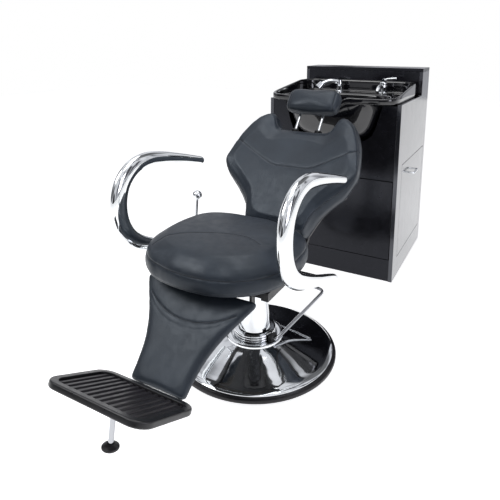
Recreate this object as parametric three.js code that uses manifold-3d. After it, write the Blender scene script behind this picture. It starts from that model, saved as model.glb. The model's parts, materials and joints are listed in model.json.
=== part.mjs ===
import * as THREE from 'three';
import { mergeVertices } from 'three/addons/utils/BufferGeometryUtils.js';
import Module from 'manifold-3d';

const wasm = await Module();
wasm.setup();

// ---- driving sizes, millimetres and degrees ----
const GAP = 0.4;
const BASE = { r: 300, ringH: 14, coverR: 287, coverTop: 66, hubR: 105, boreR: 41 };
const COLUMN = { cylR: 36, shroudR: 36, shroudFoot: 61, z0: 98, z1: 350, ramR: 24 };
const LEVER = { turn: 15, half: 88, pivotZ: 82, reach: 318, endZ: 140, rod: 6.5, bore: 7 };
const SEAT = { a: 259, front: 236, rear: 250, cy: -207, z0: 423, top: 521, boardY: -332 };
const BACK = { tilt: 39.8, y: 128, z: 420, thick: 84, dish: 46, pivotY: 112, pivotZ: 392 };
const HEAD = { s: 604, t: -26, w: 125, h: 57, d: 44, postX: 52, postR: 6, postT: -44 };
const ARM = { x: 288, side: 20 };
const LEG = { tilt: 47.6, y: -345, z: 385, s0: -16, length: 282, front: 21, board: -24, hingeT: -38 };
const FOOT = { rise: 26.7, y: -565, z: 184, f0: 34, f1: 262, w0: 158, n0: 14, thick: 17 };
const CAB = { w: 325, y0: 765, y1: 1410, splashY: 1230, rimZ: 850, top: 990, board: 18 };
const DOOR = { y0: 845, y1: 1362, z0: 100, z1: 560 };
const BOWL = {
  y: 905, rimY0: 700, rimY1: 1226, rimW: 312, rimH: 26, notch: 44, rise: 44, level: 1095, deck: 8,
};

const rad = (d) => (d * Math.PI) / 180;
const V = (x, y, z) => new THREE.Vector3(x, y, z);
const ease = (t) => {
  const c = Math.min(1, Math.max(0, t));
  return c * c * (3 - 2 * c);
};

// ---- surfaces ----
const PAINT = {
  leather: [0x4b5058, 0.55, 0],
  chrome: [0xd8dadd, 0.12, 1],
  black: [0x111215, 0.25, 0.1],
  rubber: [0x17181a, 0.8, 0],
  steel: [0x2a2c30, 0.45, 0.6],
  wood: [0x8a6f4e, 0.8, 0],
  laminate: [0x16171b, 0.18, 0],
  gloss: [0x0b0b0d, 0.06, 0],
};
const group = new THREE.Group();

function add(name, geometry, paint) {
  const [color, roughness, metalness] = PAINT[paint];
  const material = new THREE.MeshStandardMaterial({ color, roughness, metalness });
  const mesh = new THREE.Mesh(geometry, material);
  mesh.name = name;
  group.add(mesh);
}

// ---- solids ----
function signedVolume(g) {
  const p = g.attributes.position;
  const i = g.index.array;
  const [a, b, c] = [V(), V(), V()];
  let v = 0;
  for (let k = 0; k < i.length; k += 3) {
    a.fromBufferAttribute(p, i[k]);
    b.fromBufferAttribute(p, i[k + 1]);
    c.fromBufferAttribute(p, i[k + 2]);
    v += a.dot(b.cross(c)) / 6;
  }
  return v;
}

function outward(source) {
  source.deleteAttribute('normal');
  source.deleteAttribute('uv');
  const g = mergeVertices(source, 1e-4);
  if (signedVolume(g) < 0) {
    const i = g.index.array;
    for (let k = 0; k < i.length; k += 3) [i[k + 1], i[k + 2]] = [i[k + 2], i[k + 1]];
  }
  g.computeVertexNormals();
  return g;
}

function loft(rings, loop = false) {
  const n = rings[0].length;
  const pos = rings.flat().flatMap((p) => [p.x, p.y, p.z]);
  const index = [];
  const last = loop ? rings.length : rings.length - 1;
  for (let r = 0; r < last; r++) {
    const [a, b] = [r * n, ((r + 1) % rings.length) * n];
    for (let k = 0; k < n; k++) {
      const m = (k + 1) % n;
      index.push(a + k, a + m, b + m, a + k, b + m, b + k);
    }
  }
  if (!loop) {
    for (const [r, flip] of [[0, true], [rings.length - 1, false]]) {
      const c = rings[r].reduce((s, p) => s.add(p), V(0, 0, 0)).divideScalar(n);
      const at = pos.length / 3;
      pos.push(c.x, c.y, c.z);
      for (let k = 0; k < n; k++) {
        const [u, w] = [r * n + k, r * n + ((k + 1) % n)];
        index.push(at, ...(flip ? [w, u] : [u, w]));
      }
    }
  }
  const g = new THREE.BufferGeometry();
  g.setAttribute('position', new THREE.Float32BufferAttribute(pos, 3));
  g.setIndex(index);
  return outward(g);
}

function lathe(profile, segments = 48) {
  const points = [...profile, profile[0]].map(([r, z]) => new THREE.Vector2(r, z));
  const closed = profile[0][0] === 0 ? points.slice(0, -1) : points;
  return outward(new THREE.LatheGeometry(closed, segments).rotateX(Math.PI / 2));
}

function prism(outline, z0, z1, bevel = 0, holes = []) {
  const shape = new THREE.Shape(outline.map(([x, y]) => new THREE.Vector2(x, y)));
  for (const h of holes) shape.holes.push(new THREE.Path(h.map(([x, y]) => new THREE.Vector2(x, y))));
  const g = new THREE.ExtrudeGeometry(shape, {
    depth: z1 - z0 - 2 * bevel,
    bevelEnabled: bevel > 0,
    bevelThickness: bevel,
    bevelSize: bevel,
    bevelOffset: -bevel,
    bevelSegments: 2,
    curveSegments: 10,
  });
  return outward(g.translate(0, 0, z0 + bevel));
}

function turned(g, x, y, z, origin = V(0, 0, 0)) {
  return outward(g.applyMatrix4(new THREE.Matrix4().makeBasis(x, y, z).setPosition(origin)));
}

const [X, Y, Z] = [V(1, 0, 0), V(0, 1, 0), V(0, 0, 1)];
const prismX = (o, x0, x1, bevel = 0, holes = []) => turned(prism(o, x0, x1, bevel, holes), Y, Z, X);
const prismY = (o, y0, y1, bevel = 0, holes = []) =>
  turned(prism(o, -y1, -y0, bevel, holes), X, Z, V(0, -1, 0));
const rect = (a0, a1, b0, b1) => [[a0, b0], [a1, b0], [a1, b1], [a0, b1]];
const box = (x0, x1, y0, y1, z0, z1, bevel = 0) => prism(rect(x0, x1, y0, y1), z0, z1, bevel);

function roundRect(a0, a1, b0, b1, r, n = 4) {
  const out = [];
  const corners = [[a1 - r, b1 - r, 0], [a0 + r, b1 - r, 90], [a0 + r, b0 + r, 180], [a1 - r, b0 + r, 270]];
  for (const [cx, cy, start] of corners) {
    for (let k = 0; k <= n; k++) {
      const t = rad(start + (90 * k) / n);
      out.push([cx + r * Math.cos(t), cy + r * Math.sin(t)]);
    }
  }
  return out;
}

function rod(a, b, r, segments = 20, r2 = r) {
  const axis = b.clone().sub(a);
  const g = new THREE.CylinderGeometry(r2, r, axis.length(), segments);
  g.applyQuaternion(new THREE.Quaternion().setFromUnitVectors(Y, axis.clone().normalize()));
  return outward(g.translate(...a.clone().add(b).multiplyScalar(0.5).toArray()));
}

// sweeps an ellipse (u across the first normal, w along the second) down a list of points
function sweep(points, normal, size, segments = 14) {
  const rings = points.map((p, i) => {
    const t = points[Math.min(i + 1, points.length - 1)].clone().sub(points[Math.max(i - 1, 0)]).normalize();
    const side = normal.clone();
    const out = t.clone().cross(side).normalize();
    const [u, w] = size(i / (points.length - 1), i);
    return Array.from({ length: segments }, (_, k) => {
      const a = (2 * Math.PI * k) / segments;
      return p.clone().addScaledVector(out, u * Math.cos(a)).addScaledVector(side, w * Math.sin(a));
    });
  });
  return loft(rings);
}

function fillet(corners, r, steps = 5) {
  const out = [corners[0]];
  for (let i = 1; i < corners.length - 1; i++) {
    const a = corners[i - 1].clone().sub(corners[i]).normalize().multiplyScalar(r).add(corners[i]);
    const b = corners[i + 1].clone().sub(corners[i]).normalize().multiplyScalar(r).add(corners[i]);
    const curve = new THREE.QuadraticBezierCurve3(a, corners[i], b);
    out.push(...curve.getPoints(steps));
  }
  return [...out, corners[corners.length - 1]];
}

function toManifold(g) {
  const m = new wasm.Mesh({
    numProp: 3,
    vertProperties: new Float32Array(g.attributes.position.array),
    triVerts: new Uint32Array(g.index.array),
  });
  return new wasm.Manifold(m);
}

function fromManifold(m) {
  const mesh = m.getMesh();
  const g = new THREE.BufferGeometry();
  g.setAttribute('position', new THREE.Float32BufferAttribute(mesh.vertProperties, 3));
  g.setIndex(new THREE.BufferAttribute(mesh.triVerts, 1));
  return outward(g);
}

const join = (...parts) => fromManifold(parts.map(toManifold).reduce((a, b) => a.add(b)));
const cut = (from, ...tools) =>
  fromManifold(tools.map(toManifold).reduce((a, b) => a.subtract(b), toManifold(from)));

// ---- tilted frames: (x, along, out of the front face) ----
const tilt = rad(BACK.tilt);
const backS = V(0, Math.sin(tilt), Math.cos(tilt));
const backT = V(0, -Math.cos(tilt), Math.sin(tilt));
const backAt = V(0, BACK.y, BACK.z);
const onBack = (x, s, t) =>
  backAt.clone().addScaledVector(X, x).addScaledVector(backS, s).addScaledVector(backT, t);
const backward = (g) => turned(g, X, backS, backT, backAt);
const legS = V(0, -Math.sin(rad(LEG.tilt)), -Math.cos(rad(LEG.tilt)));
const legT = V(0, -Math.cos(rad(LEG.tilt)), Math.sin(rad(LEG.tilt)));
const legAt = V(0, LEG.y, LEG.z);
const NX = V(-1, 0, 0);
const legward = (g) => turned(g, NX, legS, legT, legAt);
const footF = V(0, -Math.cos(rad(FOOT.rise)), Math.sin(rad(FOOT.rise)));
const footN = V(0, Math.sin(rad(FOOT.rise)), Math.cos(rad(FOOT.rise)));
const footAt = V(0, FOOT.y, FOOT.z);
const footward = (g) => turned(g, NX, footF, footN, footAt);
// the pivot of the back in its own tilted frame
const pivot = V(0, BACK.pivotY, BACK.pivotZ).sub(backAt);
const [pivS, pivT] = [pivot.dot(backS), pivot.dot(backT)];

// ---- chair base ----
function base() {
  const { r, ringH, coverR, coverTop, hubR, boreR } = BASE;
  const inner = r - 38;
  add('base_plate', lathe([[0, 0], [inner - GAP, 0], [inner - GAP, 13.6], [0, 13.6]], 48), 'steel');
  add('base_ring', lathe([
    [inner, 0], [r - 3, 0], [r, 3], [r, ringH - 4], [r - 5, ringH], [inner, ringH],
  ], 48), 'rubber');
  add('base_cover', lathe([
    [coverR, ringH + GAP], [coverR - 3, 21], [272, 27], [215, 38], [150, 53], [hubR, coverTop - 2],
    [hubR - 2, coverTop + 4], [84, coverTop + 5.5], [82, coverTop], [boreR, coverTop],
    [boreR, coverTop - 4], [hubR, coverTop - 6], [150, 48], [215, 33], [270, 22], [coverR - 7, ringH + GAP],
  ], 48), 'chrome');
  const ribs = [];
  for (let k = 0; k < 3; k++) {
    const z = coverTop + GAP + k * 9.2;
    ribs.push([74, z], [78, z + 2], [78, z + 6], [74, z + 8]);
  }
  add('hub_collar', lathe([[boreR, coverTop + GAP], ...ribs, [66, 94.5], [boreR, 94.5]], 28), 'rubber');
  const { cylR } = COLUMN;
  add('pump_cylinder', lathe([
    [0, 14], [cylR, 14], [cylR, 236], [28, 240], [COLUMN.ramR + GAP, 240], [COLUMN.ramR + GAP, 150], [0, 150],
  ], 24), 'steel');
}

// ---- pump lever: a loop of round bar that straddles the hub ----
const out = V(Math.sin(rad(LEVER.turn)), Math.cos(rad(LEVER.turn)), 0);
const across = V(Math.cos(rad(LEVER.turn)), -Math.sin(rad(LEVER.turn)), 0);
const aroundHub = (a, o, z) => V(0, 0, z).addScaledVector(across, a).addScaledVector(out, o);

function pumpLever() {
  const { half, pivotZ, reach, endZ, rod: r } = LEVER;
  for (const [side, word] of [[-1, 'left'], [1, 'right']]) {
    const at = aroundHub(side * (half + 1), 0, 71.9);
    const block = turned(box(-8, 8, -15, 15, 0, 24, 2), across, out, Z, at);
    const ends = [-12, 14].map((d) => aroundHub(side * (half + d), 0, pivotZ));
    const bore = rod(...ends, LEVER.bore, 16);
    add(`lever_block_${word}`, cut(block, bore), 'black');
  }
  const corners = [
    aroundHub(-half + 5, 0, pivotZ), aroundHub(-half - 17, 0, pivotZ), aroundHub(-half - 17, 40, pivotZ + 9),
    aroundHub(-half + 4, reach, endZ), aroundHub(half - 4, reach, endZ), aroundHub(half + 17, 40, pivotZ + 9),
    aroundHub(half + 17, 0, pivotZ), aroundHub(half - 5, 0, pivotZ),
  ];
  add('pump_lever', bar(corners, [0, 8, 14, 26, 26, 14, 8, 0], r, 10, 3), 'chrome');
}

// round bar through corners with a bend radius at each, carried by parallel frames
function bar(corners, bends, r, segments = 10, steps = 3) {
  const path = [corners[0]];
  for (let i = 1; i < corners.length - 1; i++) {
    path.push(...fillet([corners[i - 1], corners[i], corners[i + 1]], bends[i], steps).slice(1, -1));
  }
  path.push(corners[corners.length - 1]);
  let side = null;
  const rings = path.map((p, i) => {
    const t = path[Math.min(i + 1, path.length - 1)].clone().sub(path[Math.max(i - 1, 0)]).normalize();
    if (!side) side = Math.abs(t.z) < 0.9 ? Z.clone() : X.clone();
    side = side.clone().addScaledVector(t, -side.dot(t)).normalize();
    const other = t.clone().cross(side);
    return Array.from({ length: segments }, (_, k) => {
      const a = (2 * Math.PI * k) / segments;
      return p.clone().addScaledVector(side, r * Math.cos(a)).addScaledVector(other, r * Math.sin(a));
    });
  });
  return loft(rings);
}

// ---- column ----
function column() {
  const { shroudR, shroudFoot, z0, z1, ramR } = COLUMN;
  const outer = [[shroudFoot, z0], [57, z0 + 30], [51, z0 + 70], [45.5, z0 + 112], [41, z0 + 156],
    [shroudR + 1.4, z0 + 200], [shroudR, z1 - 8]];
  const wall = 4;
  const inner = outer.slice(0, -1).map(([r, z]) => [r - wall, z]).reverse();
  add('column_shroud', lathe([
    ...outer, [0, z1 - 8], [0, z1 - 12], [shroudR - wall, z1 - 12], ...inner,
  ], 32), 'chrome');
  add('ram_rod', lathe([[0, 156], [ramR, 156], [ramR, z1 - 12 - GAP], [0, z1 - 12 - GAP]], 24), 'chrome');
}

// ---- seat ----
function seatRing(inset, z, front0 = -1000, n = 36) {
  const { a, front, rear, cy } = SEAT;
  return Array.from({ length: n }, (_, k) => {
    const t = (2 * Math.PI * k) / n;
    const [c, s] = [Math.cos(t), Math.sin(t)];
    const back = s > 0;
    const e = back ? 2 / 3.1 : 2 / 2.25;
    const b = (back ? rear : front) - inset;
    const y = cy + b * Math.sign(s) * Math.abs(s) ** e;
    return V((a - inset) * Math.sign(c) * Math.abs(c) ** e, Math.max(front0, y), z);
  });
}

function seat() {
  const { z0, top } = SEAT;
  const rows = [[22, z0], [6, z0 + 6], [0, z0 + 26], [1, z0 + 54], [8, z0 + 70], [24, z0 + 80], [70, top - 6]];
  add('seat_cushion', loft([...rows.map(([i, z]) => seatRing(i, z)), seatRing(150, top)]), 'leather');
  add('seat_board', loft([seatRing(58, 405.3, SEAT.boardY), seatRing(58, z0 - GAP, SEAT.boardY)]), 'wood');
  const plate = box(-110, 110, -190, 40, 384, 405);
  const rails = [box(-200, -176, -286, 70, 378, 405), box(176, 200, -286, -60, 378, 405)];
  const across = [[-286, -262, 200], [-120, -96, 200], [20, 44, 136]];
  const bars = across.map(([a, b, end]) => box(-200, end, a, b, 384, 405));
  const h = legHinge();
  const lugs = [-1, 1].flatMap((s) => [
    rod(V(s * 140 - 4, h.y, h.z), V(s * 140 + 4, h.y, h.z), 11, 20),
    box(s * 140 - 4, s * 140 + 4, h.y, -262, h.z - 10, h.z + 5),
    box(s * 140 - 4, s * 140 + 4, -284, -262, h.z - 10, 400),
  ]);
  const ears = [-1, 1].map((s) => {
    const { pivotY: py, pivotZ: pz } = BACK;
    const shape = [[30, 376], [py, pz - 17], [py + 13, pz - 11], [py + 17, pz], [py + 13, pz + 11], [py, pz + 16],
      [60, 404], [30, 404]];
    return prismX(shape, s * 128 - 4, s * 128 + 4);
  });
  const bores = [
    rod(V(-160, h.y, h.z), V(160, h.y, h.z), 6.4),
    rod(V(-160, BACK.pivotY, BACK.pivotZ), V(160, BACK.pivotY, BACK.pivotZ), 7.6),
    rod(V(-240, 60, 388), V(-150, 60, 388), 6),
  ];
  add('seat_frame', cut(join(plate, ...rails, ...bars, ...lugs, ...ears), ...bores), 'steel');
  add('swivel_plate', lathe([
    [0, COLUMN.z1 - 8 + GAP], [44, COLUMN.z1 - 8 + GAP], [44, 352], [62, 372],
    [62, 384 - GAP], [0, 384 - GAP],
  ], 28), 'steel');
}

// ---- armrests ----
const ARM_LINE = [
  [98, 667, 16], [-55, 708, 19], [-172, 733, 23], [-243, 738, 26], [-303, 722, 30], [-348, 682, 33],
  [-367, 625, 34], [-362, 566, 33], [-336, 513, 31], [-291, 472, 27], [-226, 438, 23], [-120, 396, 18],
  [-20, 358, 16], [42, 334, 14],
];

function arms() {
  const steps = 28;
  const cap = 0.025;
  const heights = new THREE.CatmullRomCurve3(ARM_LINE.map(([, , h], i) => V(i, h, 0)), false, 'centripetal');
  for (const [side, word] of [[-1, 'left'], [1, 'right']]) {
    const path = ARM_LINE.map(([y, z]) => V(side * ARM.x, y, z));
    const line = new THREE.CatmullRomCurve3(path, false, 'centripetal');
    const at = [0, 0.008, ...Array.from({ length: steps - 1 }, (_, i) => cap + ((1 - 2 * cap) * i) / (steps - 2)),
      0.992, 1];
    const size = (_, i) => {
      const tip = Math.min(1, Math.min(at[i], 1 - at[i]) / cap);
      const k = Math.max(0.3, Math.sqrt(1 - (1 - tip) ** 2));
      const h = heights.getPoint(at[i]).y;
      return [h * k, Math.min(ARM.side, h * 1.1) * k];
    };
    add(`armrest_${word}`, sweep(at.map((u) => line.getPoint(u)), X, size, 12), 'chrome');
    const reach = ARM.x - ARM.side - GAP;
    const a = side < 0 ? [-reach, -200 - GAP] : [200 + GAP, reach];
    add(`arm_bracket_${word}`, prismX([[-140, 388], [-80, 379.5], [-80, 394], [-140, 403]], ...a, 1), 'black');
  }
}

// ---- back ----
// lower and upper edge of the back outline at distance x from the middle
const LOW = [[0, 2], [120, 4], [132, 14], [140, 44], [150, 76], [168, 106], [205, 148], [240, 178], [266, 202],
  [282, 228], [288, 254]];
const HIGH = [[0, 462], [96, 462], [116, 470], [128, 492], [140, 520], [158, 534], [184, 526], [212, 504],
  [236, 468], [256, 424], [272, 370], [283, 312], [288, 272]];

function along(table, x) {
  const k = table.findIndex(([a]) => a >= x);
  if (k <= 0) return table[0][1];
  const [[x0, y0], [x1, y1]] = [table[k - 1], table[k]];
  return y0 + ((y1 - y0) * (x - x0)) / (x1 - x0);
}

function backSection(x, grow, front, rear) {
  const a = Math.abs(x);
  const dish = BACK.dish * (a / 290) ** 2;
  const edge = ease((290 - a) / 60);
  const lo = along(LOW, a) + grow;
  const hi = Math.max(lo + 8, along(HIGH, a) - grow);
  const thick = (front - rear) * (0.55 + 0.45 * edge);
  const pad = Math.min(18, thick / 3, (hi - lo) / 3);
  const [f, b] = [front + dish, front + dish - thick];
  const m = (lo + hi) / 2;
  return [
    [lo + pad * 0.3, b + pad * 0.4], [lo, (f + b) / 2], [lo + pad * 0.4, f - pad * 0.6], [lo + pad * 1.6, f],
    [m, f + 4 * edge], [hi - pad * 1.6, f], [hi - pad * 0.4, f - pad * 0.6], [hi, (f + b) / 2],
    [hi - pad * 0.3, b + pad * 0.4], [hi - pad * 1.2, b], [m, b], [lo + pad * 1.2, b],
  ].map(([s, t]) => onBack(x, s, t));
}

const BACK_X = [-288, -283, -274, -260, -238, -212, -184, -158, -140, -128, -116, -96, -50, 0];

function back() {
  const xs = [...BACK_X, ...BACK_X.slice(0, -1).reverse().map((x) => -x)];
  const { thick } = BACK;
  let cushion = loft(xs.map((x) => backSection(x, 0, 0, -thick)));
  const { postX, postR, postT } = HEAD;
  const holes = [-1, 1].map((s) => rod(onBack(s * postX, 330, postT), onBack(s * postX, 480, postT), postR + 6));
  cushion = cut(cushion, ...holes);
  add('back_cushion', cushion, 'leather');
  const shell = xs.filter((x) => Math.abs(x) <= 240).map((x) => {
    const d = BACK.dish * (x / 290) ** 2 - thick * (0.55 + 0.45 * ease((290 - Math.abs(x)) / 60));
    const lo = along(LOW, Math.abs(x)) + 22;
    const hi = along(HIGH, Math.abs(x)) - 22;
    const front = d - GAP;
    return [[lo, front], [(lo + hi) / 2, front], [hi, front], [hi, front - 11], [(lo + hi) / 2, front - 11],
      [lo, front - 11]].map(([s, t]) => onBack(x, s, t));
  });
  add('back_board', loft(shell), 'black');
  for (const [side, word] of [[-1, 'left'], [1, 'right']]) {
    const x0 = side * 112 - 4;
    const t = -thick - 13;
    const shape = [
      [pivS - 15, pivT + 6], [pivS - 6, pivT + 15], [pivS + 8, pivT + 14], [pivS + 14, pivT + 4],
      [-10, t + 20], [-2, t], [150, t], [150, t - 14], [-10, t - 18], [-34, t + 4], [pivS - 15, pivT - 6],
    ];
    const arm = turned(prismX(shape, x0, x0 + 8), X, backS, backT, backAt);
    const bore = rod(V(x0 - 10, BACK.pivotY, BACK.pivotZ), V(x0 + 18, BACK.pivotY, BACK.pivotZ), 7.5);
    add(`back_arm_${word}`, cut(arm, bore), 'steel');
    const tube = lathe([[postR + 0.5, 0], [postR + 5, 0], [postR + 5, 123], [postR + 10, 123], [postR + 10, 130],
      [postR + 0.5, 130]], 16);
    add(`headrest_socket_${word}`,
      turned(tube, X, backT.clone().negate(), backS, onBack(side * postX, 340, postT)), 'black');
  }
  add('back_pivot_rod', rod(V(-138, BACK.pivotY, BACK.pivotZ), V(138, BACK.pivotY, BACK.pivotZ), 7), 'chrome');
}

// ---- headrest ----
function headrest() {
  const { s, t, w, h, d, postX, postR, postT } = HEAD;
  const section = (x) => {
    const k = Math.sqrt(Math.max(0.02, 1 - (Math.abs(x) / w) ** 3.2));
    return Array.from({ length: 18 }, (_, i) => {
      const a = (2 * Math.PI * i) / 18;
      const [c, q] = [Math.cos(a), Math.sin(a)];
      const e = 0.72;
      const hh = h * (0.72 + 0.28 * k) * Math.min(1, k * 1.6);
      return onBack(x, s + hh * Math.sign(c) * Math.abs(c) ** e, t + d * k * Math.sign(q) * Math.abs(q) ** e);
    });
  };
  const xs = [-1, -0.985, -0.93, -0.82, -0.62, -0.32, 0, 0.32, 0.62, 0.82, 0.93, 0.985, 1].map((k) => k * w);
  let pad = loft(xs.map(section));
  const slot = backward(box(-92, 92, s - 32, s + 32, postT - 8.3, postT + 8.3));
  const postHole = (k, a, b, r) => rod(onBack(k * postX, a, postT), onBack(k * postX, b, postT), r);
  const holes = [-1, 1].map((k) => postHole(k, s - 80, s - 20, postR + 0.6));
  pad = cut(pad, slot, ...holes);
  add('headrest_cushion', pad, 'leather');
  const board = backward(box(-90, 90, s - 30, s + 30, postT - 8, postT + 8));
  const bores = [-1, 1].map((k) => postHole(k, s - 80, s + 10, postR + 0.3));
  add('headrest_board', cut(board, ...bores), 'wood');
  for (const [side, word] of [[-1, 'left'], [1, 'right']]) {
    const post = rod(onBack(side * postX, 372, postT), onBack(side * postX, s + 9.6, postT), postR, 14);
    add(`headrest_post_${word}`, post, 'chrome');
  }
}

// ---- recline lever ----
function reclineLever() {
  const [y, z] = [60, 388];
  const corners = [V(-172, y, z), V(-300, y, z), V(-300, y + 12, z + 122)];
  add('recline_lever', bar(corners, [0, 16, 0], 5), 'chrome');
  const knob = new THREE.SphereGeometry(19, 16, 10).translate(-300, y + 14, z + 141.5);
  add('recline_knob', outward(knob), 'chrome');
}

// ---- legrest ----
const LEG_W = [[-16, 199], [0, 193], [19, 183], [53, 163], [95, 139], [125, 125], [160, 112], [190, 104],
  [235, 97], [290, 93]];
const onLeg = (x, s, t) =>
  legAt.clone().addScaledVector(X, x).addScaledVector(legS, s).addScaledVector(legT, t);

function legHinge() {
  return onLeg(0, 0, LEG.hingeT);
}

function legSection(s, inset, t0, t1, round, crown = 0) {
  const w = along(LEG_W, s) - inset;
  const m = (t0 + t1) / 2;
  return [
    [-w, m], [-w + round * 0.3, t0 + round * 0.3], [-w + round, t0], [0, t0], [w - round, t0],
    [w - round * 0.3, t0 + round * 0.3], [w, m], [w - round * 0.3, t1 - round * 0.3], [w - round, t1],
    [0, t1 + crown], [-w + round, t1], [-w + round * 0.3, t1 - round * 0.3],
  ].map(([x, t]) => onLeg(x, s, t));
}

function legrest() {
  const { s0, length, front, board } = LEG;
  const rows = [s0, s0 + 6, 10, 40, 70, 100, 130, 165, 200, 240, length - 6, length];
  const rings = rows.map((s, i) => {
    const end = i === 0 || i === rows.length - 1 ? 7 : 0;
    return legSection(s, end, board + 12.4 + end / 2, front - end, 14, 1);
  });
  add('legrest_cushion', loft(rings), 'leather');
  const rowsAt = [s0 + 3, 20, 55, 95, 130, 165, 210, length - 6];
  const plank = loft(rowsAt.map((s) => legSection(s, 18, board, board + 12, 4)));
  const { hingeT } = LEG;
  const lug = [[-8, board + 2], [-12, hingeT + 6], [-12, hingeT - 6], [-6, hingeT - 12], [6, hingeT - 12],
    [34, board - 2], [34, board + 2]];
  const foot = [[250, board + 0.5], [292, board + 0.5], [306, -9], [309, 1], [304, 9], [293, 10], [286, 3],
    [length + 3, board + 11.6], [250, board + 11.6]];
  const plates = [[lug, 120], [foot, 66]].flatMap(([o, at]) =>
    [-1, 1].map((k) => turned(prismX(o, k * at - 4, k * at + 4), NX, legS, legT, legAt)));
  const h = legHinge();
  const bores = [
    rod(V(-150, h.y, h.z), V(150, h.y, h.z), 6.4),
    rod(V(-100, FOOT.y, FOOT.z), V(100, FOOT.y, FOOT.z), 6.4),
  ];
  add('legrest_board', cut(join(plank, ...plates), ...bores), 'black');
  add('legrest_hinge_rod', rod(V(-148, h.y, h.z), V(148, h.y, h.z), 6), 'chrome');
  add('footrest_hinge_rod', rod(V(-92, FOOT.y, FOOT.z), V(92, FOOT.y, FOOT.z), 6), 'chrome');
}

// ---- footrest ----
function footrest() {
  const { f0, f1, w0, n0, thick } = FOOT;
  const top = n0 + thick;
  const outline = roundRect(-w0, w0, f0, f1, 44, 6);
  const tray = prism(outline, n0, top, 4);
  const well = prism(roundRect(-w0 + 20, w0 - 20, f0 + 20, f1 - 20, 27, 5), top - 14, top + 2);
  add('footrest_tray', footward(cut(tray, well)), 'black');
  const [half, count] = [w0 - 22, 13];
  const pitch = (2 * half) / count;
  const comb = [[-half, top - 13.6], [half, top - 13.6]];
  for (let k = count - 1; k >= 0; k--) {
    const x = -half + k * pitch;
    comb.push([x + pitch, top - 8], [x + pitch * 0.86, top - 8], [x + pitch * 0.7, top - 4.4],
      [x + pitch * 0.3, top - 4.4], [x + pitch * 0.14, top - 8]);
  }
  comb.push([-half, top - 8]);
  const long = (f1 - f0) / 2 - 22;
  const mat = turned(prism(comb, -long, long), X, Z, V(0, -1, 0), V(0, (f0 + f1) / 2, 0));
  const trimmed = prism(roundRect(-w0 + 21, w0 - 21, f0 + 21, f1 - 21, 26, 5), top - 14, top);
  const matSolid = fromManifold(toManifold(mat).intersect(toManifold(trimmed)));
  add('footrest_mat', footward(matSolid), 'rubber');
  const strap = [[-10, -4], [-4, -10], [6, -10], [30, -3], [110, n0 - 6], [112, n0 - GAP], [20, n0 - GAP],
    [4, 10], [-4, 10], [-10, 4]];
  const straps = [-1, 1].map((k) => prismX(strap, k * 82 - 5, k * 82 + 5));
  const tie = prismX([[60, n0 - 7], [110, n0 - 7], [110, n0 - GAP], [60, n0 - GAP]], -86, 86);
  const bracket = footward(join(...straps, tie));
  const bore = rod(V(-100, FOOT.y, FOOT.z), V(100, FOOT.y, FOOT.z), 6.5);
  add('footrest_bracket', cut(bracket, bore), 'chrome');
  const lean = V(0, -0.19, -0.982);
  const under = V(0, FOOT.y, FOOT.z).addScaledVector(footF, 168).addScaledVector(footN, n0);
  const foot = under.clone().addScaledVector(lean, 111);
  const legTop = under.clone().addScaledVector(lean, -8);
  const leg = rod(legTop, foot, 7, 14);
  const flange = footward(prism(roundRect(-20, 20, 148, 188, 10), n0 - 5, n0 - GAP));
  const above = footward(box(-40, 40, 120, 220, n0 - GAP, n0 + 30));
  add('footrest_leg', cut(join(leg, flange), above), 'chrome');
  const pad = lathe([[0, -6], [17, -6], [22, -2.5], [22, 2], [16, 6], [10, 9], [7.4, 9], [7.4, 1], [0, 1]], 24);
  const axis = lean.clone().negate();
  const padAt = foot.clone().addScaledVector(lean, 1.4);
  add('footrest_leg_pad', turned(pad, X, axis.clone().cross(X), axis, padAt), 'rubber');
}

// ---- cabinet ----
function cabinet() {
  const { w, y0, y1, splashY, rimZ, top, board } = CAB;
  const lid = top - board;
  const side = [[y0, 0], [y1, 0], [y1, lid], [splashY, lid], [splashY, rimZ], [y0, rimZ]];
  const hole = rect(DOOR.y0, DOOR.y1, DOOR.z0, DOOR.z1);
  add('side_panel_left', prismX(side, -w, -w + board), 'laminate');
  add('side_panel_right', prismX(side, w - board, w, 0, [hole]), 'laminate');
  const inner = w - board - GAP;
  add('bottom_panel', box(-inner, inner, y0 + board + GAP, y1 - board - GAP, 0, board), 'laminate');
  add('plinth_board', box(-inner, inner, y0 + 3, y0 + board, 0, 108), 'laminate');
  add('front_lower_panel', box(-inner + 3, inner - 3, y0 + 1, y0 + board, 111, 490, 1), 'laminate');
  const lip = rimZ - 7;
  const half = [[241, lip], [228, 796], [214, 742], [196, 698], [160, 670], [118, 658]];
  const u = [[-inner, 494], [inner, 494], [inner, lip], ...half,
    ...half.map(([x, v]) => [-x, v]).reverse(), [-inner, lip]];
  add('front_upper_panel', prismY(u, y0 + 1, y0 + board), 'laminate');
  add('back_panel', box(-inner, inner, y1 - board, y1, 0, lid - GAP), 'laminate');
  add('splash_front', box(-inner, inner, splashY, splashY + board, rimZ, lid - GAP), 'laminate');
  add('splash_top', box(-w, w, splashY, y1, lid + GAP, top, 1.5), 'laminate');
  const g = 2;
  add('side_door', box(w - board, w, DOOR.y0 + g, DOOR.y1 - g, DOOR.z0 + g, DOOR.z1 - g, 1), 'laminate');
  const grip = [V(w + GAP, 1010, 487), V(w + 26, 1010, 487), V(w + 26, 1100, 487), V(w + GAP, 1100, 487)];
  add('door_handle', bar(grip, [0, 9, 9, 0], 5, 12), 'chrome');
}

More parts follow.
